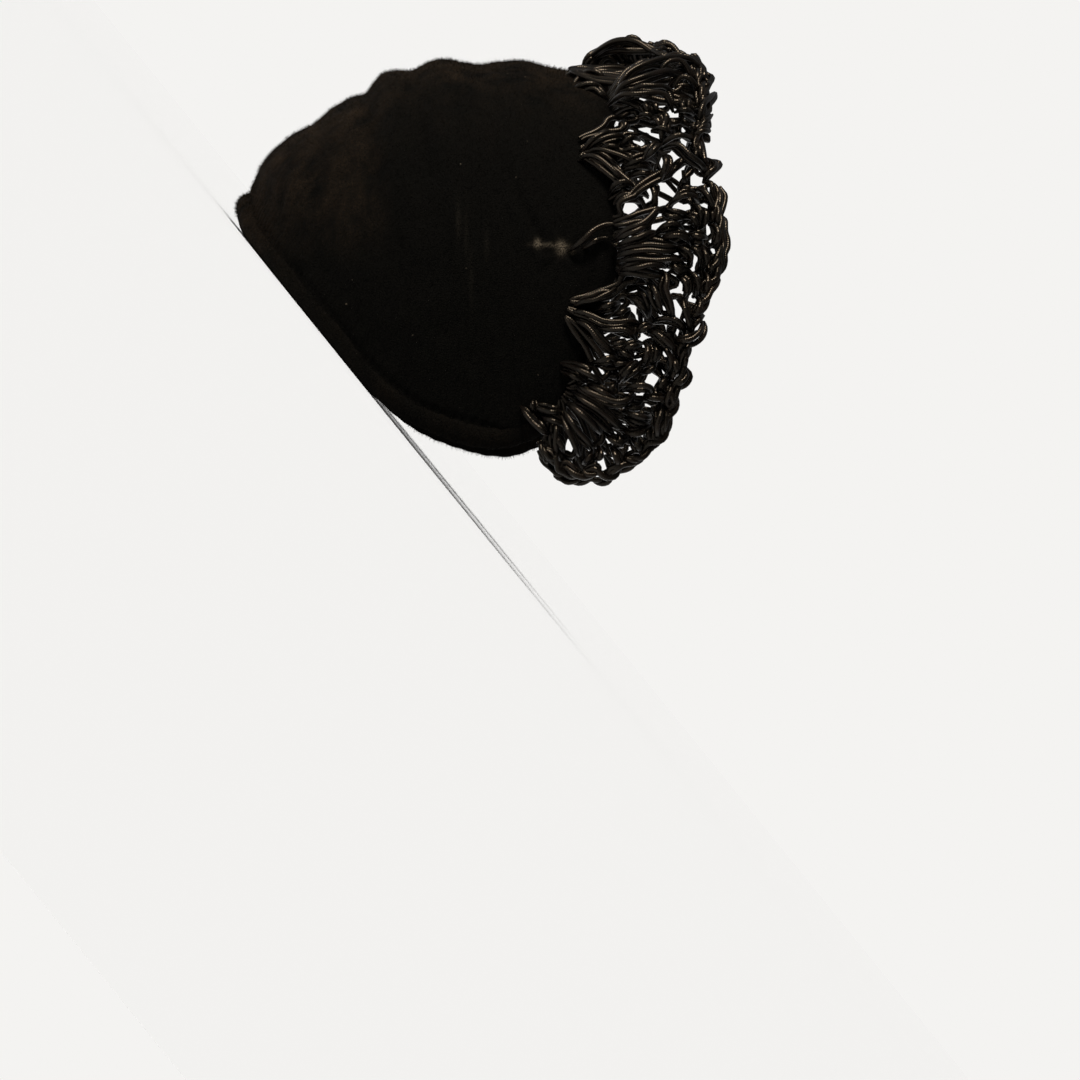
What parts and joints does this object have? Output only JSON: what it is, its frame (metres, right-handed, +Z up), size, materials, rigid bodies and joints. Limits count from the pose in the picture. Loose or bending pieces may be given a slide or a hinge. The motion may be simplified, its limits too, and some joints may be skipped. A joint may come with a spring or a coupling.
{
  "type": "headband hat",
  "caption": "Black velvet headband hat of the 1940s: a stiffened half crown with a rolled edge and a front trim of crocheted cord shells.",
  "frame": {"origin": "middle of the hat's bounding box, at the level of the surface it rests on", "axes": "+Z up with the hat lying on its back edge, -Y towards the front trim, -X towards the wearer's right"},
  "size_m": [0.1732, 0.1518, 0.1455],
  "materials": {
    "velvet": "silk velvet, deep pile",
    "gimp_cord": "satin gimp cord"
  },
  "bodies": {
    "root": {"crown": "velvet", "edge_binding": "velvet", "large_shell_centre": "gimp_cord", "large_shell_right_1": "gimp_cord", "large_shell_left_1": "gimp_cord", "large_shell_right_2": "gimp_cord", "large_shell_left_2": "gimp_cord", "large_shell_right_3": "gimp_cord", "large_shell_left_3": "gimp_cord", "small_shell_right_1": "gimp_cord", "small_shell_left_1": "gimp_cord", "small_shell_right_2": "gimp_cord", "small_shell_left_2": "gimp_cord", "small_shell_right_3": "gimp_cord", "small_shell_left_3": "gimp_cord"}
  },
  "joints": []
}
